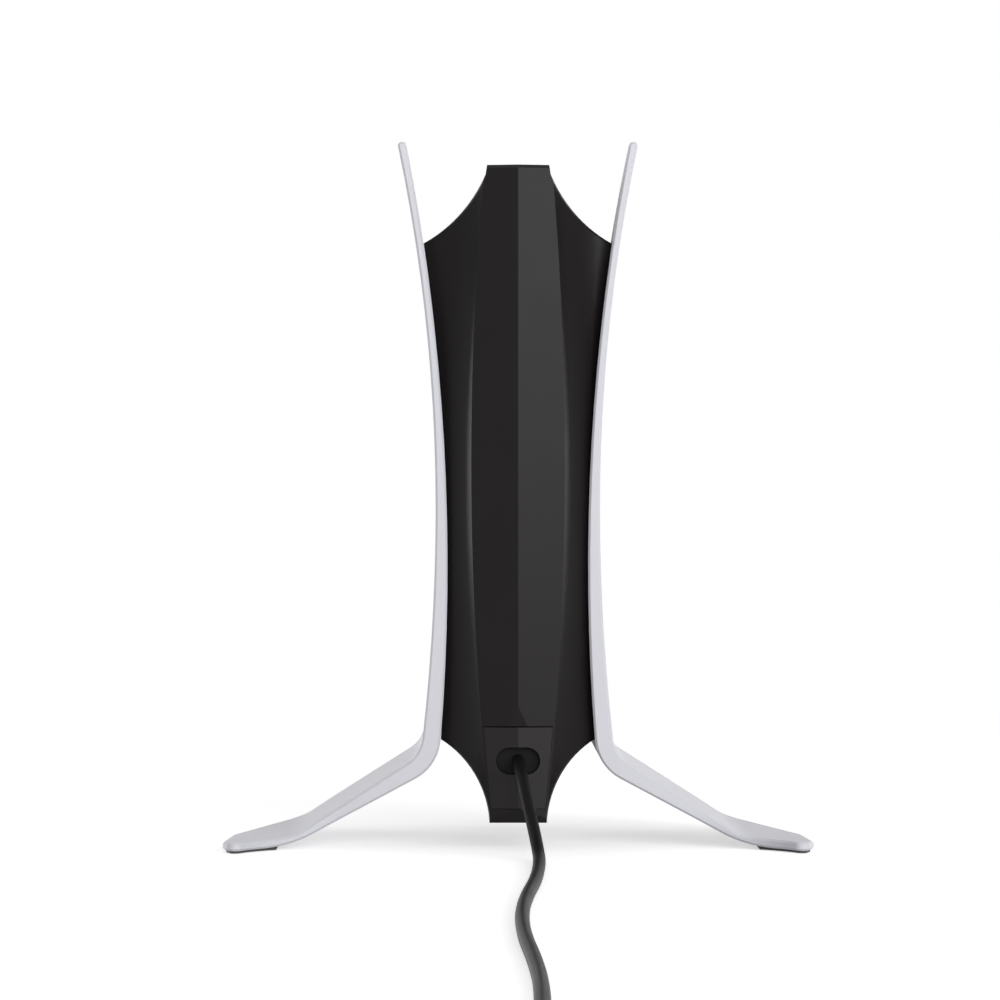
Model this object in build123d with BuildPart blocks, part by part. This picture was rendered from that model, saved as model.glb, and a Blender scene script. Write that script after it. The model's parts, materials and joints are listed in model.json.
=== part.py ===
from build123d import *
import os
from math import pi, radians, sqrt, tan

os.makedirs("parts", exist_ok=True)

# Side panels: thin fins that bend out into legs with flat feet
panel_height = 190.7
panel_rear_y = -36.0
panel_tip_depth = 7.0
panel_tip_radius = 1.0
panel_mid_z = 0.388 * panel_height
panel_mid_front_y = 20.0
panel_low_front_y = 44.0
panel_thickness = 3.2
outer_half = 22.2
outer_waist_z = 92.0
outer_upper_radius = 473.0
outer_lower_radius = 553.0
waist_half = outer_half - panel_thickness
waist_z = 76.0
inner_radius = 590.0
panel_bevel = 0.55
panel_skin = 1.4
rim_slope = 0.2

# Leg and foot section: bend and knee, inner and outer corners of the bent plate
bend_in_z = 22.0
bend_out_z = 25.2
bend_in_radius = 13.0
bend_out_radius = 9.5
foot_half = 79.0
knee_in_reach = 17.4
knee_out_reach = 18.4
knee_in_x = foot_half - knee_in_reach
knee_out_x = foot_half - knee_out_reach
knee_in_radius = 30.0
knee_out_radius = 11.0
foot_thickness = 2.6
toe_thickness = 2.2
pad_thickness = 0.6

# Leg and foot seen from above
heel_reach = 3.1
heel_x = foot_half - heel_reach
heel_y = -57.45
toe_rear_y = -47.0
sweep_reach = 31.4
sweep_start_x = foot_half - sweep_reach
toe_front_y = -25.0
toe_taper = 1.4
knee_front_x = foot_half - knee_out_reach
knee_front_y = 40.0
toe_corner = 2.2
knee_corner = 12.0
pad_length = 14.0
pad_inner_x = foot_half - pad_length
pad_margin = 0.9

# Tower outline seen from behind
tower_top_z = 184.0
top_half = 8.35
neck_half = 8.75
neck_drop = 2.6
neck_z = tower_top_z - neck_drop
shoulder_drop = 20.4
shoulder_z = tower_top_z - shoulder_drop
shoulder_scallop_radius = 38.0
base_z = 7.3
base_half = 7.7
low_corner_z = 29.2
low_scallop_radius = 27.0
wall = 2.0
panel_gap = 0.05

# Ridged spine and swept flanks of the tower's rear
ridge_y = -44.0
facet_tilt = 11.0
spine_half = 12.6
spine_mid_z = 104.0
spine_radius = 900.0
spine_inset_share = 0.33
flank_half = 30.0
flank_y = -31.0
skin_sections = 7
cover_split_y = -26.0
base_lip_height = 3.9
base_lip_depth = 2.2
rear_slope = 0.3
top_bevel = 0.9
scallop_bevel = 0.5
tongue_thickness = 1.0
tongue_length = 3.0
tongue_gap = 0.15

# Stepped front of the tower: a riser and a tread for each controller
base_front_y = 46.0
lower_tread_front_y = 52.0
lower_riser_y = 22.0
upper_tread_drop = 42.0
step_height = 68.0
upper_tread_z = tower_top_z - upper_tread_drop
lower_tread_z = upper_tread_z - step_height
upper_riser_y = -7.0
nose_radius = 3.0

# Cable plate, its scooped approach and the oval cord opening
plate_top_z = 33.2
plate_thickness = 2.0
plate_drop = 0.5
plate_tilt = 8.0
plate_gap = 0.12
plate_bevel = 0.25
plate_backing = 2.0
plate_margin = 0.5
plate_seat_margin = 1.6
scoop_height = 5.5
oval_z = 24.0
oval_width = 11.8
oval_height = 7.3
grommet_gap = 0.15
grommet_recess = 3.3
grommet_flange = 1.2
grommet_flange_margin = 1.2

# Charging plugs, their holders, boards and indicator lenses
plug_height = 10.0
plug_width = 8.3
plug_thickness = 2.4
plug_reach = 6.5
plug_shell_wall = 0.3
plug_gap = 0.2
holder_width = 14.0
holder_height = 8.0
holder_depth = 6.0
contact_slot = 0.8
core_setback = 0.5
holder_corner = 1.0
bay_board_thickness = 1.2
bay_board_width = 13.0
bay_board_below_plug = 6.0
bay_board_above_lens = 2.0
lens_width = 6.0
lens_height = 2.0
lens_flange = 1.0
bay_boss_rise = 9.0
bay_boss_drop = 8.0
upper_lens_rise = 35.0
lower_lens_rise = 44.0
upper_lens_z = upper_tread_z + upper_lens_rise
lower_lens_z = lower_tread_z + lower_lens_rise
socket_width = 5.0
socket_height = 4.0
socket_depth = 3.8

# Tread pads
tread_pad_width = 26.0
tread_pad_margin = 4.5
tread_pad_thickness = 1.2
tread_pad_sink = 0.6
tread_pad_corner = 3.0
tread_pad_bevel = 0.3

# Main board on four posts
board_z = 36.0
board_thickness = 1.6
board_half = 14.0
board_rear_y = -17.0
board_length = 56.0
board_post_half = 10.0
board_post_margin = 5.0
post_diameter = 5.0
chip_size = 8.0
chip_height = 1.2
coil_block = 7.0
can_diameter = 5.0

# Fasteners
panel_boss_diameter = 5.0
panel_boss_clearance = 0.3
boss_rear_y = -18.0
boss_front_y = 14.0
boss_low_z = 46.0
boss_high_z = 106.0
boss_high_y = -16.0
screw_diameter = 2.2
screw_gap = 0.05
screw_head_diameter = 4.4
screw_head_height = 1.4
panel_screw_length = 3.8
board_screw_length = 6.0

# Wiring inside
harness_diameter = 2.4
lead_diameter = 3.0
harness_half = 4.0
harness_drop = 16.0
harness_bend = 6.0
lead_bend = 5.0
lead_standoff = 9.5

# Power cord on the floor, with its put-away coil, tie and plug
cord_diameter = 3.3
bend_share = 0.45
coil_mean_radius = 19.0
coil_layers = 2
coil_gap = 0.2
coil_setback = 2.0
tie_angle = 27.0
tie_thickness = 0.6
tie_gap = 0.1
cord_plug_width = 15.6
cord_plug_height = 7.6
cord_plug_length = 26.0
cord_plug_nose = 5.0
cord_plug_corner = 2.5
cord_shell_width = 12.0
cord_shell_height = 4.5
cord_shell_length = 18.8
cord_shell_wall = 0.3


def bow(z, waist, centre_z, radius):
    """Distance from the middle plane of an arc that is narrowest at centre_z."""
    return waist + radius - sqrt(radius**2 - (z - centre_z) ** 2)


def panel_in(z):
    """Inner face of a side panel."""
    return bow(z, waist_half, waist_z, inner_radius)


def panel_out(z):
    """Outer face of a side panel, flatter below its waist."""
    radius = outer_upper_radius if z > outer_waist_z else outer_lower_radius
    return bow(z, outer_half, outer_waist_z, radius)


def tower_side(z):
    """Side wall of the tower, a small gap inside the panel."""
    return bow(z, waist_half - panel_gap, waist_z, inner_radius + panel_gap)


def spine_edge(z):
    """Half width of the ridged spine, widest at spine_mid_z."""
    return spine_half - (z - spine_mid_z) ** 2 / (2 * spine_radius)


def corner(sketch, x, y):
    """The sketch vertex nearest to a point of its own plane."""
    return sketch.vertices().sort_by_distance((x, y, 0))[0]


def foot_plan():
    """Leg and foot from above: swept rear edge, blunt toe, raked front edge."""
    with BuildSketch() as plan:
        with BuildLine():
            rear = Line((0, panel_rear_y), (sweep_start_x, panel_rear_y))
            sweep = TangentArc(rear @ 1, (heel_x, heel_y), tangent=(1, 0))
            Polyline(
                sweep @ 1,
                (foot_half, toe_rear_y),
                (foot_half - toe_taper, toe_front_y),
                (knee_front_x, knee_front_y),
                (0, knee_front_y),
                rear @ 0,
            )
        make_face()
        toe_corners = [
            corner(plan, heel_x, heel_y),
            corner(plan, foot_half, toe_rear_y),
            corner(plan, foot_half - toe_taper, toe_front_y),
        ]
        fillet(toe_corners, toe_corner)
        fillet(corner(plan, knee_front_x, knee_front_y), knee_corner)
    return plan.sketch


def tower_outline(inset):
    """Tower from behind, in X and Z: scalloped shoulders, waisted sides, scalloped base."""
    with BuildSketch() as outline:
        with BuildLine():
            base = Line((0, base_z), (base_half, base_z))
            low = RadiusArc(base @ 1, (tower_side(low_corner_z), low_corner_z), low_scallop_radius)
            side = ThreePointArc(
                low @ 1, (tower_side(waist_z), waist_z), (tower_side(shoulder_z), shoulder_z)
            )
            shoulder = RadiusArc(side @ 1, (neck_half, neck_z), shoulder_scallop_radius)
            Polyline(shoulder @ 1, (top_half, tower_top_z), (0, tower_top_z))
            mirror(about=Plane.YZ)
        make_face()
        if inset > 0:
            offset(amount=-inset)
    return outline.sketch


def tower_profile(inset):
    """Tower from the side, in Y and Z: two steps in front, a slanted lip at the rear of the base."""
    lip_slope = base_lip_height / base_lip_depth
    rear_y = ridge_y - 2 * wall
    with BuildSketch() as profile:
        with BuildLine():
            Polyline(
                (ridge_y + base_lip_depth, base_z),
                (base_front_y, base_z),
                (lower_tread_front_y, lower_tread_z),
                (lower_riser_y, lower_tread_z),
                (lower_riser_y, upper_tread_z),
                (upper_riser_y, upper_tread_z),
                (upper_riser_y, tower_top_z),
                (rear_y, tower_top_z),
                (rear_y, base_z + base_lip_height + (ridge_y - rear_y) * lip_slope),
                close=True,
            )
        make_face()
        noses = [
            corner(profile, lower_tread_front_y, lower_tread_z),
            corner(profile, lower_riser_y, upper_tread_z),
            corner(profile, upper_riser_y, tower_top_z),
            corner(profile, base_front_y, base_z),
        ]
        fillet(noses, nose_radius)
        if inset > 0:
            offset(amount=-inset)
    return profile.sketch


def rear_skin(inset):
    """Ridged spine between hollow flanks, lofted through level sections."""
    front_y = 2 * lower_tread_front_y
    facet_slope = tan(radians(facet_tilt))
    section_step = (2 * spine_mid_z) / (skin_sections - 1)
    with BuildPart() as skin:
        for level in range(skin_sections):
            z = level * section_step
            edge = spine_edge(z) - spine_inset_share * inset
            with BuildSketch(Plane.XY.offset(z)):
                with BuildLine():
                    facet = Line((0, ridge_y + inset), (edge, ridge_y + inset + edge * facet_slope))
                    flank = TangentArc((flank_half, flank_y + inset), facet @ 1, tangent=(-1, 0))
                    Polyline(flank @ 0, (flank_half, front_y), (0, front_y))
                    mirror(about=Plane.YZ)
                make_face()
        loft()
    return skin.part


def tower_solid(inset):
    """The tower drawn in by a wall thickness: outline, side profile and rear skin together."""
    outline = tower_outline(inset)
    profile = tower_profile(inset)
    skin = rear_skin(inset)
    with BuildPart() as solid:
        with BuildSketch(Plane.XZ):
            add(outline)
        extrude(amount=2 * lower_tread_front_y, both=True)
        with BuildSketch(Plane.YZ):
            add(profile)
        extrude(amount=flank_half, both=True, mode=Mode.INTERSECT)
        add(skin, mode=Mode.INTERSECT)
    return solid.part


# Right side panel: bent plate section, trimmed by its side and plan outlines
foot_top_z = pad_thickness + foot_thickness
foot_outline = foot_plan()
panel_bosses = [(boss_rear_y, boss_low_z), (boss_front_y, boss_low_z), (boss_high_y, boss_high_z)]
boss_end_x = waist_half - panel_gap - wall - panel_boss_clearance

with BuildPart() as right_side_panel:
    with BuildSketch(Plane.XZ) as section:
        with BuildLine():
            inner = ThreePointArc(
                (panel_in(bend_in_z), bend_in_z),
                (waist_half, waist_z),
                (panel_in(panel_height), panel_height),
            )
            tip = Line(inner @ 1, (panel_out(panel_height), panel_height))
            upper_z = (panel_height + outer_waist_z) / 2
            upper = ThreePointArc(tip @ 1, (panel_out(upper_z), upper_z), (outer_half, outer_waist_z))
            lower_z = (bend_out_z + outer_waist_z) / 2
            lower = ThreePointArc(
                upper @ 1, (panel_out(lower_z), lower_z), (panel_out(bend_out_z), bend_out_z)
            )
            Polyline(
                lower @ 1,
                (knee_out_x, foot_top_z),
                (foot_half, pad_thickness + toe_thickness),
                (foot_half, pad_thickness),
                (knee_in_x, pad_thickness),
                inner @ 0,
            )
        make_face()
        fillet(corner(section, panel_in(bend_in_z), bend_in_z), bend_in_radius)
        fillet(corner(section, panel_out(bend_out_z), bend_out_z), bend_out_radius)
        fillet(corner(section, knee_in_x, pad_thickness), knee_in_radius)
        fillet(corner(section, knee_out_x, foot_top_z), knee_out_radius)
        fillet(corner(section, panel_in(panel_height), panel_height), panel_tip_radius)
        fillet(corner(section, panel_out(panel_height), panel_height), panel_tip_radius)
    extrude(amount=-2 * heel_y, both=True)
    with BuildSketch(Plane.YZ) as fin:
        with BuildLine():
            front = ThreePointArc(
                (panel_rear_y + panel_tip_depth, panel_height),
                (panel_mid_front_y, panel_mid_z),
                (panel_low_front_y, 0),
            )
            Polyline(
                front @ 1,
                (2 * heel_y, 0),
                (2 * heel_y, bend_in_z / 2),
                (panel_rear_y, bend_in_z),
                (panel_rear_y, panel_height),
                front @ 0,
            )
        make_face()
    extrude(amount=2 * foot_half, mode=Mode.INTERSECT)
    with BuildSketch():
        add(foot_outline)
    extrude(amount=panel_height, mode=Mode.INTERSECT)
    rim = right_side_panel.faces().filter_by(
        lambda face: abs(face.normal_at().Y) > rim_slope or face.center().X > foot_half - toe_corner
    )
    rim_edges = rim.edges()
    outer_edges = rim_edges.filter_by(lambda edge: sum(edge.is_same(other) for other in rim_edges) == 1)
    chamfer(outer_edges, panel_bevel)
    with BuildSketch(Plane.YZ.offset(boss_end_x)):
        with Locations(*panel_bosses):
            Circle(panel_boss_diameter / 2)
    extrude(amount=outer_half - panel_skin - boss_end_x)
    with BuildSketch(Plane.YZ.offset(boss_end_x)):
        with Locations(*panel_bosses):
            Circle(screw_diameter / 2 + screw_gap)
    extrude(amount=panel_screw_length + screw_gap, mode=Mode.SUBTRACT)
right_side_panel.part.label = "right_side_panel"
export_step(right_side_panel.part, "parts/right_side_panel.step")

with BuildPart() as left_side_panel:
    mirror(right_side_panel.part, about=Plane.YZ)
left_side_panel.part.label = "left_side_panel"
export_step(left_side_panel.part, "parts/left_side_panel.step")

# Foot pads: rubber strips under the flat toes
with BuildPart() as right_foot_pad:
    with BuildSketch():
        add(foot_outline)
        offset(amount=-pad_margin)
        with Locations((pad_inner_x - foot_half, 0)):
            Rectangle(2 * foot_half, 4 * foot_half, mode=Mode.SUBTRACT)
    extrude(amount=pad_thickness)
right_foot_pad.part.label = "right_foot_pad"
export_step(right_foot_pad.part, "parts/right_foot_pad.step")

with BuildPart() as left_foot_pad:
    mirror(right_foot_pad.part, about=Plane.YZ)
left_foot_pad.part.label = "left_foot_pad"
export_step(left_foot_pad.part, "parts/left_foot_pad.step")

# Panel screws, driven from inside the tower into the panels' bosses
with BuildPart() as right_panel_screws:
    with BuildSketch(Plane.YZ.offset(boss_end_x)):
        with Locations(*panel_bosses):
            Circle(screw_head_diameter / 2)
    extrude(amount=-screw_head_height)
    with BuildSketch(Plane.YZ.offset(boss_end_x)):
        with Locations(*panel_bosses):
            Circle(screw_diameter / 2)
    extrude(amount=panel_screw_length)
right_panel_screws.part.label = "right_panel_screws"
export_step(right_panel_screws.part, "parts/right_panel_screws.step")

with BuildPart() as left_panel_screws:
    mirror(right_panel_screws.part, about=Plane.YZ)
left_panel_screws.part.label = "left_panel_screws"
export_step(left_panel_screws.part, "parts/left_panel_screws.step")

# Tower shells, the sizes that both share, and the rear cover's seats
plain_tower = tower_solid(0)
inner_tower = tower_solid(wall)
with BuildPart() as bevelled_tower:
    add(plain_tower)
    rear_faces = bevelled_tower.faces().filter_by(lambda face: face.normal_at().Y < -rear_slope)
    rear_edges = rear_faces.edges()
    rear_rim = rear_edges.filter_by(lambda edge: sum(edge.is_same(other) for other in rear_edges) == 1)
    top_rim = rear_rim.filter_by(lambda edge: edge.center().Z > tower_top_z - top_bevel)
    shoulders = rear_rim.filter_by(lambda edge: shoulder_z < edge.center().Z < neck_z - top_half)
    low_scallops = rear_rim.filter_by(lambda edge: base_z + base_half < edge.center().Z < low_corner_z)
    chamfer(top_rim, top_bevel)
    chamfer(shoulders + low_scallops, scallop_bevel)
outer_tower = bevelled_tower.part
split_plane = Plane.XZ.offset(-cover_split_y)
tongue_plane = Plane.XZ.offset(-cover_split_y - tongue_length)
root_outline = tower_outline(wall / 2)
tongue_outline = tower_outline(wall + tongue_gap)
tongue_hollow = tower_outline(wall + tongue_gap + tongue_thickness)

plate_bottom_z = base_z + base_lip_height
plate_face_y = ridge_y + plate_drop
plate_back_y = plate_face_y + plate_thickness
seat_back_y = plate_back_y + plate_backing
plate_rise = tan(radians(plate_tilt))


def plate_outline(grow):
    """Cable plate from behind, narrowing with the spine towards the base."""
    top_half_width = spine_edge(plate_top_z) - plate_margin + grow
    low_half_width = spine_edge(plate_bottom_z) - plate_margin + grow
    with BuildSketch() as outline:
        with BuildLine():
            Polyline(
                (-low_half_width, plate_bottom_z - grow),
                (low_half_width, plate_bottom_z - grow),
                (top_half_width, plate_top_z + grow),
                (-top_half_width, plate_top_z + grow),
                close=True,
            )
        make_face()
    return outline.sketch


plate_shape = plate_outline(0)
recess_shape = plate_outline(plate_gap)
seat_shape = plate_outline(plate_seat_margin)

with BuildPart() as plate_seat:
    with BuildSketch(Plane.XZ.offset(-seat_back_y)):
        add(seat_shape)
    extrude(amount=plate_backing + plate_thickness)
    add(outer_tower, mode=Mode.INTERSECT)

# Rear cover: ridged spine and flanks, recessed seat for the cable plate, tongue round its rim
with BuildPart() as rear_cover:
    add(outer_tower)
    add(inner_tower, mode=Mode.SUBTRACT)
    split(bisect_by=split_plane, keep=Keep.TOP)
    add(plate_seat.part)
    with BuildSketch(split_plane):
        add(root_outline)
        add(tongue_hollow, mode=Mode.SUBTRACT)
    extrude(amount=tongue_length)
    with BuildSketch(tongue_plane):
        add(tongue_outline)
        add(tongue_hollow, mode=Mode.SUBTRACT)
    extrude(amount=tongue_length)
    with BuildSketch(Plane.XZ.offset(-plate_back_y)):
        add(recess_shape)
    extrude(amount=-2 * ridge_y, mode=Mode.SUBTRACT)
    with BuildSketch(Plane.XZ.offset(-seat_back_y)):
        with Locations((0, oval_z)):
            SlotOverall(oval_width, oval_height)
    extrude(amount=-2 * ridge_y, mode=Mode.SUBTRACT)
    with BuildSketch(Plane.YZ):
        with BuildLine():
            Polyline(
                (ridge_y + plate_drop, plate_top_z),
                (ridge_y, plate_top_z + scoop_height),
                (ridge_y - plate_drop, plate_top_z + 2 * scoop_height),
                (ridge_y - plate_drop, plate_top_z),
                close=True,
            )
        make_face()
    extrude(amount=spine_half, both=True, mode=Mode.SUBTRACT)
rear_cover.part.label = "rear_cover"
export_step(rear_cover.part, "parts/rear_cover.step")

# Cable plate: shallow ridge, oval cord opening, bevelled top edge
with BuildPart() as cable_plate:
    with BuildSketch(Plane.XY.offset(plate_bottom_z)):
        with BuildLine():
            Polyline(
                (0, plate_back_y),
                (spine_half, plate_back_y),
                (spine_half, plate_face_y + spine_half * plate_rise),
                (0, plate_face_y),
            )
            mirror(about=Plane.YZ)
        make_face()
    extrude(amount=plate_top_z - plate_bottom_z)
    with BuildSketch(Plane.XZ):
        add(plate_shape)
    extrude(amount=-2 * ridge_y, both=True, mode=Mode.INTERSECT)
    top_edges = cable_plate.faces().sort_by(Axis.Z)[-1].edges().group_by(Axis.Y)[0]
    chamfer(top_edges, plate_bevel)
    with BuildSketch(Plane.XZ):
        with Locations((0, oval_z)):
            SlotOverall(oval_width, oval_height)
    extrude(amount=-2 * ridge_y, both=True, mode=Mode.SUBTRACT)
cable_plate.part.label = "cable_plate"
export_step(cable_plate.part, "parts/cable_plate.step")

# Cord grommet: rubber plug in the oval, flanged behind its seat
grommet_face_y = plate_face_y + grommet_recess
grommet_end_y = seat_back_y + grommet_flange
with BuildPart() as cord_grommet:
    with BuildSketch(Plane.XZ.offset(-grommet_end_y)):
        with Locations((0, oval_z)):
            SlotOverall(oval_width - 2 * grommet_gap, oval_height - 2 * grommet_gap)
    extrude(amount=grommet_end_y - grommet_face_y)
    with BuildSketch(Plane.XZ.offset(-grommet_end_y)):
        with Locations((0, oval_z)):
            SlotOverall(oval_width + 2 * grommet_flange_margin, oval_height + 2 * grommet_flange_margin)
    extrude(amount=grommet_flange)
cord_grommet.part.label = "cord_grommet"
export_step(cord_grommet.part, "parts/cord_grommet.step")

# Bays: the step, plug and lens heights of the upper and the lower one
bays = [
    ("upper", upper_riser_y, upper_tread_z, lower_riser_y, upper_lens_z),
    ("lower", lower_riser_y, lower_tread_z, lower_tread_front_y, lower_lens_z),
]
board_posts = [
    (side * board_post_half, y)
    for side in (-1, 1)
    for y in (board_rear_y + board_post_margin, board_rear_y + board_length - board_post_margin)
]
bay_board_gap = wall + holder_depth

with BuildPart() as board_pillars:
    with BuildSketch(Plane.XY.offset(base_z)):
        with Locations(*board_posts):
            Circle(post_diameter / 2)
    extrude(amount=board_z - base_z)
    add(outer_tower, mode=Mode.INTERSECT)

# Front housing: stepped shell with plug and lens openings, pad pockets, board posts and bosses
with BuildPart() as front_housing:
    add(outer_tower)
    add(inner_tower, mode=Mode.SUBTRACT)
    split(bisect_by=split_plane, keep=Keep.BOTTOM)
    add(board_pillars.part)
    for bay, riser_y, tread_z, front_y, lens_z in bays:
        plug_z = tread_z + plug_height
        bay_bosses = [(0, plug_z + bay_boss_rise), (0, lens_z - bay_boss_drop)]
        with BuildSketch(Plane.XZ.offset(-riser_y + wall)):
            with Locations(*bay_bosses):
                Circle(post_diameter / 2)
        extrude(amount=holder_depth)
        with BuildSketch(Plane.XZ.offset(-riser_y + bay_board_gap)):
            with Locations(*bay_bosses):
                Circle(screw_diameter / 2 + screw_gap)
        extrude(amount=-board_screw_length, mode=Mode.SUBTRACT)
        with BuildSketch(Plane.XZ.offset(-riser_y + wall)):
            with Locations((0, plug_z)):
                SlotOverall(plug_width + 2 * plug_gap, plug_thickness + 2 * plug_gap)
            with Locations((0, lens_z)):
                SlotOverall(lens_width + 2 * plug_gap, lens_height + 2 * plug_gap)
        extrude(amount=-wall, mode=Mode.SUBTRACT)
        with BuildSketch(Plane.XY.offset(tread_z)):
            with Locations((0, (riser_y + front_y) / 2)):
                RectangleRounded(
                    tread_pad_width + 2 * plug_gap,
                    front_y - riser_y - 2 * tread_pad_margin + 2 * plug_gap,
                    tread_pad_corner,
                )
        extrude(amount=-tread_pad_sink, mode=Mode.SUBTRACT)
    with BuildSketch(Plane.XY.offset(board_z)):
        with Locations(*board_posts):
            Circle(screw_diameter / 2 + screw_gap)
    extrude(amount=-board_screw_length, mode=Mode.SUBTRACT)
    with BuildSketch(Plane.YZ):
        with Locations(*panel_bosses):
            Circle(panel_boss_diameter / 2 + panel_boss_clearance)
    extrude(amount=flank_half, both=True, mode=Mode.SUBTRACT)
front_housing.part.label = "front_housing"
export_step(front_housing.part, "parts/front_housing.step")

# Each bay: charging plug, its core and holder, board, indicator lens and tread pad
for bay, riser_y, tread_z, front_y, lens_z in bays:
    plug_z = tread_z + plug_height
    board_face_y = riser_y - bay_board_gap
    holder_plane = Plane.XZ.offset(-board_face_y)
    bay_bosses = [(0, plug_z + bay_boss_rise), (0, lens_z - bay_boss_drop)]

    with BuildPart() as plug_shell:
        with BuildSketch(holder_plane):
            with Locations((0, plug_z)):
                SlotOverall(plug_width, plug_thickness)
                SlotOverall(
                    plug_width - 2 * plug_shell_wall,
                    plug_thickness - 2 * plug_shell_wall,
                    mode=Mode.SUBTRACT,
                )
        extrude(amount=-bay_board_gap - plug_reach)
    plug_shell.part.label = f"{bay}_plug_shell"
    export_step(plug_shell.part, f"parts/{bay}_plug_shell.step")

    core_inset = plug_shell_wall + screw_gap
    with BuildPart() as plug_core:
        with BuildSketch(holder_plane):
            with Locations((0, plug_z)):
                SlotOverall(plug_width - 2 * core_inset, plug_thickness - 2 * core_inset)
        extrude(amount=-bay_board_gap - plug_reach + core_setback)
        with BuildSketch(Plane.XZ.offset(-riser_y)):
            with Locations((0, plug_z)):
                Rectangle(plug_width - 2 * plug_thickness + contact_slot, contact_slot)
        extrude(amount=-plug_reach, mode=Mode.SUBTRACT)
    plug_core.part.label = f"{bay}_plug_core"
    export_step(plug_core.part, f"parts/{bay}_plug_core.step")

    with BuildPart() as plug_holder:
        with BuildSketch(holder_plane):
            with Locations((0, plug_z)):
                RectangleRounded(holder_width, holder_height, holder_corner)
                SlotOverall(
                    plug_width + 2 * screw_gap,
                    plug_thickness + 2 * screw_gap,
                    mode=Mode.SUBTRACT,
                )
        extrude(amount=-holder_depth)
    plug_holder.part.label = f"{bay}_plug_holder"
    export_step(plug_holder.part, f"parts/{bay}_plug_holder.step")

    board_low_z = plug_z - bay_board_below_plug
    board_high_z = lens_z + bay_board_above_lens
    with BuildPart() as bay_board:
        with BuildSketch(holder_plane):
            with Locations((0, (board_low_z + board_high_z) / 2)):
                Rectangle(bay_board_width, board_high_z - board_low_z)
            with Locations(*bay_bosses):
                Circle(screw_diameter / 2 + screw_gap, mode=Mode.SUBTRACT)
        extrude(amount=bay_board_thickness)
    bay_board.part.label = f"{bay}_bay_board"
    export_step(bay_board.part, f"parts/{bay}_bay_board.step")

    with BuildPart() as led_lens:
        with BuildSketch(Plane.XZ.offset(-riser_y)):
            with Locations((0, lens_z)):
                SlotOverall(lens_width, lens_height)
        extrude(amount=bay_board_gap - plug_gap)
        with BuildSketch(Plane.XZ.offset(-riser_y + wall)):
            with Locations((0, lens_z)):
                SlotOverall(lens_width + 2 * lens_flange, lens_height + 2 * lens_flange)
        extrude(amount=lens_flange)
    led_lens.part.label = f"{bay}_led_lens"
    export_step(led_lens.part, f"parts/{bay}_led_lens.step")

    with BuildPart() as tread_pad:
        with BuildSketch(Plane.XY.offset(tread_z - tread_pad_sink)):
            with Locations((0, (riser_y + front_y) / 2)):
                RectangleRounded(
                    tread_pad_width,
                    front_y - riser_y - 2 * tread_pad_margin,
                    tread_pad_corner - plug_gap,
                )
        extrude(amount=tread_pad_thickness)
        chamfer(tread_pad.faces().sort_by(Axis.Z)[-1].edges(), tread_pad_bevel)
    tread_pad.part.label = f"{bay}_tread_pad"
    export_step(tread_pad.part, f"parts/{bay}_tread_pad.step")

# Main board across the four posts, with its parts and wire sockets
board_top_z = board_z + board_thickness
board_mid_y = board_rear_y + board_length / 2
with BuildPart() as main_board:
    with BuildSketch(Plane.XY.offset(board_z)):
        with Locations((0, board_mid_y)):
            Rectangle(2 * board_half, board_length)
        with Locations(*board_posts):
            Circle(screw_diameter / 2 + screw_gap, mode=Mode.SUBTRACT)
    extrude(amount=board_thickness)
main_board.part.label = "main_board"
export_step(main_board.part, "parts/main_board.step")

with BuildPart() as board_components:
    with BuildSketch(Plane.XY.offset(board_top_z)):
        with Locations((0, board_mid_y)):
            Rectangle(chip_size, chip_size)
    extrude(amount=chip_height)
    with BuildSketch(Plane.XY.offset(board_top_z)):
        with Locations((0, board_mid_y + 2 * chip_size)):
            RectangleRounded(coil_block, coil_block, coil_block / 5)
    extrude(amount=coil_block / 2)
    with BuildSketch(Plane.XY.offset(board_top_z)):
        with Locations((-chip_size, board_mid_y + chip_size), (chip_size, board_mid_y + chip_size)):
            Circle(can_diameter / 2)
    extrude(amount=can_diameter)
board_components.part.label = "board_components"
export_step(board_components.part, "parts/board_components.step")

supply_y = board_rear_y + socket_depth / 2
harness_y = board_rear_y + board_post_margin + post_diameter + socket_depth
bay_socket_gap = bay_board_gap + bay_board_thickness + socket_depth
bay_socket_y = {bay: riser_y - bay_socket_gap for bay, riser_y, *_ in bays}
bay_plug_z = {bay: tread_z + plug_height for bay, _, tread_z, *_ in bays}
with BuildPart() as wire_sockets:
    with BuildSketch(Plane.XY.offset(board_top_z)):
        with Locations((0, supply_y), (-harness_half, harness_y), (harness_half, harness_y)):
            Rectangle(socket_width, socket_depth)
    extrude(amount=socket_height)
    for bay, side in (("upper", 1), ("lower", -1)):
        with BuildSketch(Plane.XZ.offset(-bay_socket_y[bay])):
            with Locations((side * harness_half, bay_plug_z[bay])):
                Rectangle(socket_width, socket_height)
        extrude(amount=-socket_depth)
wire_sockets.part.label = "wire_sockets"
export_step(wire_sockets.part, "parts/wire_sockets.step")

# Screws of the main board and the two bay boards
with BuildPart() as board_screws:
    with BuildSketch(Plane.XY.offset(board_top_z)):
        with Locations(*board_posts):
            Circle(screw_head_diameter / 2)
    extrude(amount=screw_head_height)
    with BuildSketch(Plane.XY.offset(board_top_z)):
        with Locations(*board_posts):
            Circle(screw_diameter / 2)
    extrude(amount=-board_screw_length)
    for bay, riser_y, tread_z, front_y, lens_z in bays:
        board_back_y = riser_y - bay_board_gap - bay_board_thickness
        bay_bosses = [(0, tread_z + plug_height + bay_boss_rise), (0, lens_z - bay_boss_drop)]
        with BuildSketch(Plane.XZ.offset(-board_back_y)):
            with Locations(*bay_bosses):
                Circle(screw_head_diameter / 2)
        extrude(amount=screw_head_height)
        with BuildSketch(Plane.XZ.offset(-board_back_y)):
            with Locations(*bay_bosses):
                Circle(screw_diameter / 2)
        extrude(amount=-board_screw_length)
board_screws.part.label = "board_screws"
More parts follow.
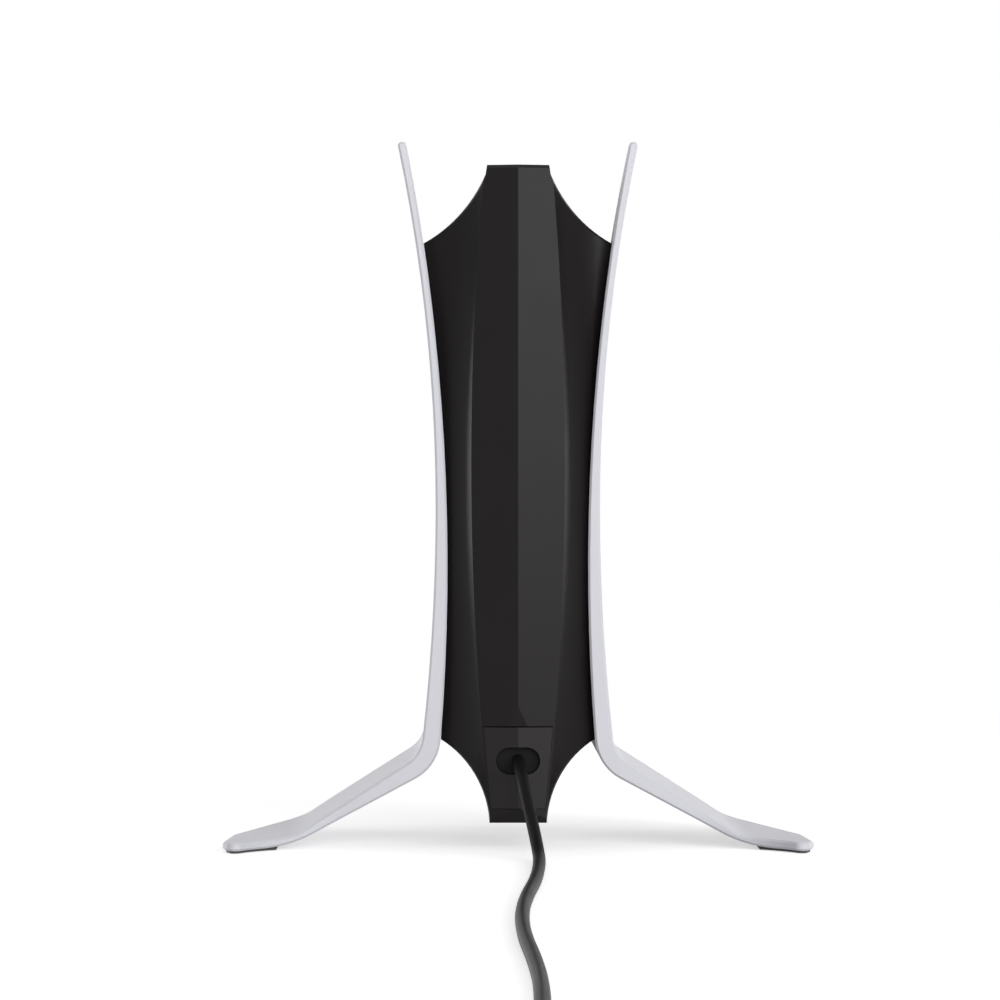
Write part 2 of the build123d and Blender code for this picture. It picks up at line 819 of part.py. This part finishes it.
export_step(board_screws.part, "parts/board_screws.step")


def tube(points, radii, diameter):
    """Round tube along straight runs joined by tangent arcs."""
    with BuildPart() as solid:
        with BuildLine() as path:
            if radii:
                FilletPolyline(*points, radius=radii)
            else:
                Line(*points)
        route = path.wires()[0]
        with BuildSketch(Plane(origin=route @ 0, z_dir=route % 0)):
            Circle(diameter / 2)
        sweep(path=route)
    return solid.part, route.length


# Wiring: supply lead from the cord, one harness to each bay board
socket_mid_z = board_top_z + socket_height / 2
socket_top_z = board_top_z + socket_height
lead_rise_y = board_rear_y - lead_standoff
lead_points = [
    (0, grommet_end_y, oval_z),
    (0, lead_rise_y, oval_z),
    (0, lead_rise_y, socket_mid_z),
    (0, board_rear_y, socket_mid_z),
]
supply_lead_solid, _ = tube(lead_points, [lead_bend, lead_bend], lead_diameter)
with BuildPart() as supply_lead:
    add(supply_lead_solid)
supply_lead.part.label = "supply_lead"
export_step(supply_lead.part, "parts/supply_lead.step")

upper_socket_y = bay_socket_y["upper"] + socket_depth / 2
upper_socket_z = bay_plug_z["upper"] - socket_height / 2
upper_points = [
    (harness_half, harness_y, socket_top_z),
    (harness_half, harness_y, (socket_top_z + upper_socket_z) / 2),
    (harness_half, upper_socket_y, upper_socket_z - harness_drop),
    (harness_half, upper_socket_y, upper_socket_z),
]
upper_harness_solid, _ = tube(upper_points, [harness_bend, harness_bend], harness_diameter)
with BuildPart() as upper_harness:
    add(upper_harness_solid)
upper_harness.part.label = "upper_harness"
export_step(upper_harness.part, "parts/upper_harness.step")

lower_points = [
    (-harness_half, harness_y, socket_top_z),
    (-harness_half, harness_y, bay_plug_z["lower"]),
    (-harness_half, bay_socket_y["lower"], bay_plug_z["lower"]),
]
lower_harness_solid, _ = tube(lower_points, [harness_bend], harness_diameter)
with BuildPart() as lower_harness:
    add(lower_harness_solid)
lower_harness.part.label = "lower_harness"
export_step(lower_harness.part, "parts/lower_harness.step")

# Power cord: out of the grommet, down to the floor and away in gentle curves
cord_floor_z = cord_diameter / 2
cord_points = [
    (0, grommet_face_y, oval_z),
    (0, -54, oval_z),
    (6.0, -70, cord_floor_z),
    (4.6, -106, cord_floor_z),
    (2.9, -146, cord_floor_z),
    (0.0, -186, cord_floor_z),
    (-1.8, -226, cord_floor_z),
    (-1.9, -272, cord_floor_z),
    (-0.4, -318, cord_floor_z),
    (0.2, -364, cord_floor_z),
    (-0.8, -414, cord_floor_z),
    (0.4, -458, cord_floor_z),
]


def bend_radii(points):
    """Each corner's arc is as large as its two runs allow."""
    radii = []
    for before, at, after in zip(points, points[1:], points[2:]):
        run_in = Vector(*at) - Vector(*before)
        run_out = Vector(*after) - Vector(*at)
        shorter = min(run_in.length, run_out.length)
        radii.append(bend_share * shorter / tan(radians(run_in.get_angle(run_out)) / 2))
    return radii


cord_radii = bend_radii(cord_points)
cord_solid, cord_length = tube(cord_points, cord_radii, cord_diameter)
with BuildPart() as cord:
    add(cord_solid)
cord.part.label = "cord"
export_step(cord.part, "parts/cord.step")
print("cord radii", [round(radius, 1) for radius in cord_radii])
print("cord volume", cord.part.volume, "section times length", pi * cord_diameter**2 / 4 * cord_length)

# Put-away coil beside the cord's end, held by a tie
bundle = coil_layers * cord_diameter
coil_bottom_z = tie_thickness + tie_gap
coil_x = cord_points[-1][0] + cord_diameter / 2 + coil_gap + bundle / 2 + coil_mean_radius
coil_y = cord_points[-1][1] - coil_setback
coil_section_plane = Plane(origin=(coil_x, coil_y, coil_bottom_z), x_dir=(0, 1, 0), z_dir=(1, 0, 0))
coil_axis = Axis((coil_x, coil_y, 0), (0, 0, 1))
with BuildPart() as cord_coil:
    with BuildSketch(coil_section_plane):
        with Locations((coil_mean_radius, bundle / 2)):
            RectangleRounded(bundle, bundle, cord_diameter / 2 - tie_gap)
    revolve(axis=coil_axis)
cord_coil.part.label = "cord_coil"
export_step(cord_coil.part, "parts/cord_coil.step")

tie_hole = bundle + 2 * tie_gap
tie_outer = tie_hole + 2 * tie_thickness
with BuildPart() as cord_tie:
    with BuildSketch(coil_section_plane):
        with Locations((coil_mean_radius, bundle / 2)):
            RectangleRounded(tie_outer, tie_outer, cord_diameter / 2)
            RectangleRounded(tie_hole, tie_hole, cord_diameter / 2 - tie_thickness, mode=Mode.SUBTRACT)
    revolve(axis=coil_axis, revolution_arc=tie_angle)
cord_tie.part.label = "cord_tie"
export_step(cord_tie.part, "parts/cord_tie.step")

# Far end: a short tail off the coil and the plug, lying beside it
tail_y = coil_y - coil_mean_radius - bundle / 2 - coil_gap - cord_diameter / 2
tail_z = coil_bottom_z + bundle - cord_diameter / 2
cord_plug_z = cord_plug_height / 2
cord_plug_x = coil_x + coil_mean_radius + bundle / 2 + cord_diameter
tail_points = [(coil_x + cord_diameter, tail_y, tail_z), (cord_plug_x, tail_y, cord_plug_z)]
cord_tail_solid, _ = tube(tail_points, [], cord_diameter)
with BuildPart() as cord_tail:
    add(cord_tail_solid)
    split(bisect_by=Plane.YZ.offset(cord_plug_x), keep=Keep.BOTTOM)
cord_tail.part.label = "cord_tail"
export_step(cord_tail.part, "parts/cord_tail.step")

nose_end_x = cord_plug_x + cord_plug_nose
body_end_x = cord_plug_x + cord_plug_length
with BuildPart() as cord_plug_body:
    with BuildSketch(Plane.YZ.offset(cord_plug_x)):
        with Locations((tail_y, cord_plug_z)):
            Circle(cord_diameter)
    with BuildSketch(Plane.YZ.offset(nose_end_x)):
        with Locations((tail_y, cord_plug_z)):
            RectangleRounded(cord_plug_width, cord_plug_height, cord_plug_corner)
    loft()
    with BuildSketch(Plane.YZ.offset(nose_end_x)):
        with Locations((tail_y, cord_plug_z)):
            RectangleRounded(cord_plug_width, cord_plug_height, cord_plug_corner)
    extrude(amount=cord_plug_length - cord_plug_nose)
cord_plug_body.part.label = "cord_plug_body"
export_step(cord_plug_body.part, "parts/cord_plug_body.step")

shell_hole_width = cord_shell_width - 2 * cord_shell_wall
shell_hole_height = cord_shell_height - 2 * cord_shell_wall
with BuildPart() as cord_plug_shell:
    with BuildSketch(Plane.YZ.offset(body_end_x)):
        with Locations((tail_y, cord_plug_z)):
            Rectangle(cord_shell_width, cord_shell_height)
            Rectangle(shell_hole_width, shell_hole_height, mode=Mode.SUBTRACT)
    extrude(amount=cord_shell_length)
cord_plug_shell.part.label = "cord_plug_shell"
export_step(cord_plug_shell.part, "parts/cord_plug_shell.step")

with BuildPart() as cord_plug_tongue:
    with BuildSketch(Plane.YZ.offset(body_end_x)):
        with Locations((tail_y, cord_plug_z - shell_hole_height / 4)):
            Rectangle(shell_hole_width - 2 * screw_gap, shell_hole_height / 2 - 2 * screw_gap)
    extrude(amount=cord_shell_length - core_setback)
cord_plug_tongue.part.label = "cord_plug_tongue"
export_step(cord_plug_tongue.part, "parts/cord_plug_tongue.step")
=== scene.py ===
import json
from math import cos, pi, radians, sin

import bpy
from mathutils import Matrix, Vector


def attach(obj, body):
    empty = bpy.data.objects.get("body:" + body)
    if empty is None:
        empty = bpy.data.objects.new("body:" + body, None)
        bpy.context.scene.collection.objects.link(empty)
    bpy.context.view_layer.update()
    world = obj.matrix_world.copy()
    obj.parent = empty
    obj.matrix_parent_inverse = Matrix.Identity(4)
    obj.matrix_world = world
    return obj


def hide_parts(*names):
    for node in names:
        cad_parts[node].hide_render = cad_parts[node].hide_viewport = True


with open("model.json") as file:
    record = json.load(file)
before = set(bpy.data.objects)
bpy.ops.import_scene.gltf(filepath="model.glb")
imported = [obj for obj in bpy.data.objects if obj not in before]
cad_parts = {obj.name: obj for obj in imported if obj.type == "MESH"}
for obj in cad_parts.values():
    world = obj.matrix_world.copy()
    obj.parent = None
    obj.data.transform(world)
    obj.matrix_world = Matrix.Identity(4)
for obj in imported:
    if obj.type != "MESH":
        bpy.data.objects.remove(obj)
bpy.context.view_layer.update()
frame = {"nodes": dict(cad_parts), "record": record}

nodes = frame["nodes"]
scene = bpy.context.scene
scene.view_settings.view_transform = "Standard"

# Camera: level, behind the dock, a little left of its middle plane
CAMERA_PLACE = (-0.015, -1.136, 0.094)
CAMERA_YAW = radians(0.53)
LENS_MM = 146.7
SENSOR_MM = 36
NEAR_CLIP = 0.05

camera_data = bpy.data.cameras.new("camera")
camera_data.sensor_width = SENSOR_MM
camera_data.lens = LENS_MM
camera_data.clip_start = NEAR_CLIP
camera = bpy.data.objects.new("camera", camera_data)
camera.location = CAMERA_PLACE
camera.rotation_euler = (pi / 2, 0, -CAMERA_YAW)
scene.collection.objects.link(camera)
scene.camera = camera

# Power cord: out of the oval opening, down to the floor and along it to the coil
CORD_D = 0.0033
LYING_Z = CORD_D / 2
CORD_EXIT = (0, -0.0402, 0.0240)
route = [
    CORD_EXIT,
    (0, -0.054, 0.0240),
    (0.0051, -0.070, LYING_Z),
    (0.0045, -0.106, LYING_Z),
    (0.0029, -0.146, LYING_Z),
    (0.0000, -0.186, LYING_Z),
    (-0.0018, -0.226, LYING_Z),
    (-0.0019, -0.272, LYING_Z),
    (-0.0004, -0.318, LYING_Z),
    (0.0002, -0.364, LYING_Z),
    (-0.0008, -0.414, LYING_Z),
    (0.0004, -0.458, LYING_Z),
]

# Put-away coil: an outer and an inner turn, one layer on the other
COIL_X, COIL_Y = 0.02455, -0.460
LOW_Z, HIGH_Z = 0.00235, 0.00565
ENTRY_R, OUTER_R, INNER_R = 0.02415, 0.02065, 0.01735
JOIN_ANGLE = 180
LEAVE_ANGLE = 270
FULL_TURNS = 4
STEP_ANGLE = 20
CROSSING_ANGLE = 120
LAST_CROSSING_ANGLE = 90
CLIMB_LEAN = 0.0019
# The spline runs inside its points, so they stand out by this factor
SWELL = 1 / (0.75 + cos(radians(STEP_ANGLE)) / 4)
# Radius and height before and after each pass of the crossing, which starts where the cord joins the ring
passes = [
    ((ENTRY_R, LYING_Z), (OUTER_R, LOW_Z)),
    ((OUTER_R, LOW_Z), (INNER_R, LOW_Z)),
    ((INNER_R, LOW_Z), (INNER_R, HIGH_Z)),
    ((INNER_R, HIGH_Z), (OUTER_R, HIGH_Z)),
    ((OUTER_R, HIGH_Z), (ENTRY_R, HIGH_Z)),
]
CLIMB_PASS = 2


def ease(share):
    """Smooth step from 0 to 1."""
    share = min(max(share, 0.0), 1.0)
    return share * share * (3 - 2 * share)


turns = []
for angle in range(JOIN_ANGLE + STEP_ANGLE, LEAVE_ANGLE + FULL_TURNS * 360, STEP_ANGLE):
    number, past_join = divmod(angle - JOIN_ANGLE, 360)
    (start_r, start_z), (end_r, end_z) = passes[number]
    share = ease(past_join / (LAST_CROSSING_ANGLE if number == FULL_TURNS else CROSSING_ANGLE))
    radius = start_r + (end_r - start_r) * share
    height = start_z + (end_z - start_z) * share
    if number == CLIMB_PASS:
        radius -= CLIMB_LEAN * sin(pi * min(past_join / CROSSING_ANGLE, 1))
    around = radians(angle)
    turns.append((
        COIL_X + SWELL * radius * cos(around),
        COIL_Y + SWELL * radius * sin(around),
        height,
    ))

# Tail: off the coil's top and down into the plug
TAIL_Y = -0.48415
tail = [(0.0279, TAIL_Y, HIGH_Z), (0.0400, TAIL_Y, 0.0047), (0.0512, TAIL_Y, 0.0038)]

cord_curve = bpy.data.curves.new("power_cord", "CURVE")
cord_curve.dimensions = "3D"
cord_curve.bevel_depth = 1
cord_curve.bevel_resolution = 6
cord_curve.resolution_u = 10
cord_curve.use_fill_caps = True
cord_points = route + turns + tail
spline = cord_curve.splines.new("NURBS")
spline.points.add(len(cord_points) - 1)
for point, place in zip(spline.points, cord_points):
    point.co = (*place, 1)
    point.radius = CORD_D / 2
spline.order_u = 3
spline.use_endpoint_u = True
cord = bpy.data.objects.new("power_cord", cord_curve)
scene.collection.objects.link(cord)
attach(cord, "root")
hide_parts("cord", "cord_coil", "cord_tail")

# Moulded finishes: slow drift in colour and roughness, fine grain in the bump
DRIFT_SCALE = 35
DRIFT_DETAIL = 4
DRIFT_LOW, DRIFT_HIGH = 0.3, 0.7
ROUGHNESS_DRIFT = 0.03
GRAIN_DETAIL = 2
GRAIN_DEPTH = 0.0001


def linear(code):
    """Linear red, green and blue of an sRGB hex code."""
    values = []
    for i in (0, 2, 4):
        c = int(code[i:i + 2], 16) / 255
        values.append(c / 12.92 if c <= 0.04045 else ((c + 0.055) / 1.055) ** 2.4)
    return values


def moulded(
    name, colour, roughness, shift=0.03, grain=1800, bump=0.06, specular=0.5, metallic=0.0
):
    """Finish whose colour drifts by a share, shift, round its hex code."""
    material = bpy.data.materials.new(name)
    material.use_nodes = True
    tree = material.node_tree
    shader = tree.nodes["Principled BSDF"]
    shader.inputs["Metallic"].default_value = metallic
    shader.inputs["Specular IOR Level"].default_value = specular
    place = tree.nodes.new("ShaderNodeTexCoord")

    drift = tree.nodes.new("ShaderNodeTexNoise")
    drift.inputs["Scale"].default_value = DRIFT_SCALE
    drift.inputs["Detail"].default_value = DRIFT_DETAIL
    tree.links.new(place.outputs["Object"], drift.inputs["Vector"])

    tone = tree.nodes.new("ShaderNodeValToRGB")
    dark, light = tone.color_ramp.elements
    dark.position = DRIFT_LOW
    light.position = DRIFT_HIGH
    dark.color = (*[c * (1 - shift) for c in linear(colour)], 1)
    light.color = (*[min(1, c * (1 + shift)) for c in linear(colour)], 1)
    tree.links.new(drift.outputs["Fac"], tone.inputs["Fac"])
    tree.links.new(tone.outputs["Color"], shader.inputs["Base Color"])

    rough = tree.nodes.new("ShaderNodeMapRange")
    rough.inputs["From Min"].default_value = DRIFT_LOW
    rough.inputs["From Max"].default_value = DRIFT_HIGH
    rough.inputs["To Min"].default_value = roughness - ROUGHNESS_DRIFT
    rough.inputs["To Max"].default_value = roughness + ROUGHNESS_DRIFT
    tree.links.new(drift.outputs["Fac"], rough.inputs["Value"])
    tree.links.new(rough.outputs["Result"], shader.inputs["Roughness"])

    fine = tree.nodes.new("ShaderNodeTexNoise")
    fine.inputs["Scale"].default_value = grain
    fine.inputs["Detail"].default_value = GRAIN_DETAIL
    tree.links.new(place.outputs["Object"], fine.inputs["Vector"])
    relief = tree.nodes.new("ShaderNodeBump")
    relief.inputs["Strength"].default_value = bump
    relief.inputs["Distance"].default_value = GRAIN_DEPTH
    tree.links.new(fine.outputs["Fac"], relief.inputs["Height"])
    tree.links.new(relief.outputs["Normal"], shader.inputs["Normal"])
    return material


finishes = {
    "panel_white": moulded("panel_white", "e0e0e7", 0.40, shift=0.012, bump=0.03, specular=0.25),
    "tower_black": moulded("tower_black", "110d0e", 0.34, shift=0.05, bump=0.05, specular=0.16),
    "plate_black": moulded("plate_black", "171314", 0.36, shift=0.05, bump=0.05, specular=0.2),
    "pad_rubber": moulded("pad_rubber", "4a4648", 0.75, shift=0.05, grain=900, bump=0.2, specular=0.3),
    "plug_steel": moulded("plug_steel", "c4c2bd", 0.24, shift=0.04, bump=0.03, metallic=1.0),
    "core_black": moulded("core_black", "151515", 0.5, shift=0.05, specular=0.35),
    "board_green": moulded("board_green", "1e5b33", 0.4, shift=0.08, grain=700, bump=0.1),
    "lens_clear": moulded("lens_clear", "dfe6ea", 0.25, shift=0.02, bump=0.02),
    "component_black": moulded("component_black", "1c1c1e", 0.5, shift=0.05),
    "socket_white": moulded("socket_white", "ddd9cc", 0.45, shift=0.03),
    "screw_steel": moulded("screw_steel", "a8a8a6", 0.35, shift=0.05, metallic=1.0),
    "wire_grey": moulded("wire_grey", "3c3c40", 0.5, shift=0.05),
    "cord_black": moulded("cord_black", "0f0e0e", 0.48, shift=0.06, bump=0.05, specular=0.1),
    "tie_black": moulded("tie_black", "1b1b1b", 0.5, shift=0.05),
}
slots = {part["node"]: part["material_slot"] for part in frame["record"]["subparts"]}
for name, node in nodes.items():
    node.data.materials.clear()
    node.data.materials.append(finishes[slots[name]])
cord_curve.materials.append(finishes["cord_black"])

# Floor and world: white where they are seen or mirrored, a plain level where they light the dock
FLOOR_REACH = 6.0
FLOOR_Z = -0.0002
FLOOR_GREY = 0.6
FLOOR_LIFT = 0.57
FADE_START, FADE_END = 0.15, 0.7
WORLD_LEVEL = 0.27
WHITE = (1, 1, 1, 1)


def seen(tree):
    """One where a camera, glossy or transmission ray meets the surface, else zero."""
    path = tree.nodes.new("ShaderNodeLightPath")
    first = tree.nodes.new("ShaderNodeMath")
    first.operation = "MAXIMUM"
    tree.links.new(path.outputs["Is Camera Ray"], first.inputs[0])
    tree.links.new(path.outputs["Is Glossy Ray"], first.inputs[1])
    both = tree.nodes.new("ShaderNodeMath")
    both.operation = "MAXIMUM"
    tree.links.new(first.outputs[0], both.inputs[0])
    tree.links.new(path.outputs["Is Transmission Ray"], both.inputs[1])
    return both.outputs[0]


def mixed(tree, share, low, high):
    """Shader that goes from low to high as the share goes from 0 to 1."""
    mix = tree.nodes.new("ShaderNodeMixShader")
    tree.links.new(share, mix.inputs[0])
    tree.links.new(low.outputs[0], mix.inputs[1])
    tree.links.new(high.outputs[0], mix.inputs[2])
    return mix


def floor_paper():
    """Pale paper that shows the dock's shadow and fades to white away from it."""
    material = bpy.data.materials.new("floor_paper")
    material.use_nodes = True
    tree = material.node_tree
    tree.nodes.clear()
    matte = tree.nodes.new("ShaderNodeBsdfDiffuse")
    matte.inputs["Color"].default_value = (FLOOR_GREY, FLOOR_GREY, FLOOR_GREY, 1)

    shadowed = tree.nodes.new("ShaderNodeBsdfDiffuse")
    shadowed.inputs["Color"].default_value = WHITE
    lift = tree.nodes.new("ShaderNodeEmission")
    lift.inputs["Strength"].default_value = FLOOR_LIFT
    lifted = tree.nodes.new("ShaderNodeAddShader")
    tree.links.new(shadowed.outputs[0], lifted.inputs[0])
    tree.links.new(lift.outputs[0], lifted.inputs[1])

    white = tree.nodes.new("ShaderNodeEmission")
    white.inputs["Strength"].default_value = 1.0
    place = tree.nodes.new("ShaderNodeTexCoord")
    reach = tree.nodes.new("ShaderNodeVectorMath")
    reach.operation = "LENGTH"
    tree.links.new(place.outputs["Object"], reach.inputs[0])
    away = tree.nodes.new("ShaderNodeMapRange")
    away.interpolation_type = "SMOOTHSTEP"
    away.inputs["From Min"].default_value = FADE_START
    away.inputs["From Max"].default_value = FADE_END
    tree.links.new(reach.outputs["Value"], away.inputs["Value"])

    faded = mixed(tree, away.outputs["Result"], lifted, white)
    surface = mixed(tree, seen(tree), matte, faded)
    out = tree.nodes.new("ShaderNodeOutputMaterial")
    tree.links.new(surface.outputs[0], out.inputs["Surface"])
    return material


def studio_world():
    """White surroundings that light the dock at a plain level."""
    world = bpy.data.worlds.new("studio")
    world.use_nodes = True
    tree = world.node_tree
    tree.nodes.clear()
    plain = tree.nodes.new("ShaderNodeBackground")
    plain.inputs["Color"].default_value = WHITE
    plain.inputs["Strength"].default_value = WORLD_LEVEL
    white = tree.nodes.new("ShaderNodeBackground")
    white.inputs["Color"].default_value = WHITE
    white.inputs["Strength"].default_value = 1.0
    surface = mixed(tree, seen(tree), plain, white)
    out = tree.nodes.new("ShaderNodeOutputWorld")
    tree.links.new(surface.outputs[0], out.inputs["Surface"])
    return world


floor_mesh = bpy.data.meshes.new("floor")
floor_mesh.from_pydata(
    [
        (-FLOOR_REACH, -FLOOR_REACH, FLOOR_Z),
        (FLOOR_REACH, -FLOOR_REACH, FLOOR_Z),
        (FLOOR_REACH, FLOOR_REACH, FLOOR_Z),
        (-FLOOR_REACH, FLOOR_REACH, FLOOR_Z),
    ],
    [],
    [(0, 1, 2, 3)],
)
floor_mesh.materials.append(floor_paper())
floor = bpy.data.objects.new("floor", floor_mesh)
scene.collection.objects.link(floor)
scene.world = studio_world()


# Lamps: a wide key behind the dock, to the right, and a low fill at each side of its front
def softbox(name, place, target, width, height, watts):
    """Rectangular area lamp that faces its target."""
    data = bpy.data.lights.new(name, "AREA")
    data.shape = "RECTANGLE"
    data.size = width
    data.size_y = height
    data.energy = watts
    lamp = bpy.data.objects.new(name, data)
    lamp.location = place
    lamp.rotation_euler = (Vector(target) - Vector(place)).to_track_quat("-Z", "Y").to_euler()
    scene.collection.objects.link(lamp)


softbox("key", (0.52, -1.31, 0.42), target=(0, 0, 0.1), width=1.4, height=0.7, watts=15)
softbox("left_fill", (-1.2, 0.9, 0.22), target=(0, 0, 0.09), width=0.9, height=0.4, watts=9)
softbox("right_fill", (1.2, 0.9, 0.22), target=(0, 0, 0.09), width=0.9, height=0.4, watts=6)

bpy.context.view_layer.update()
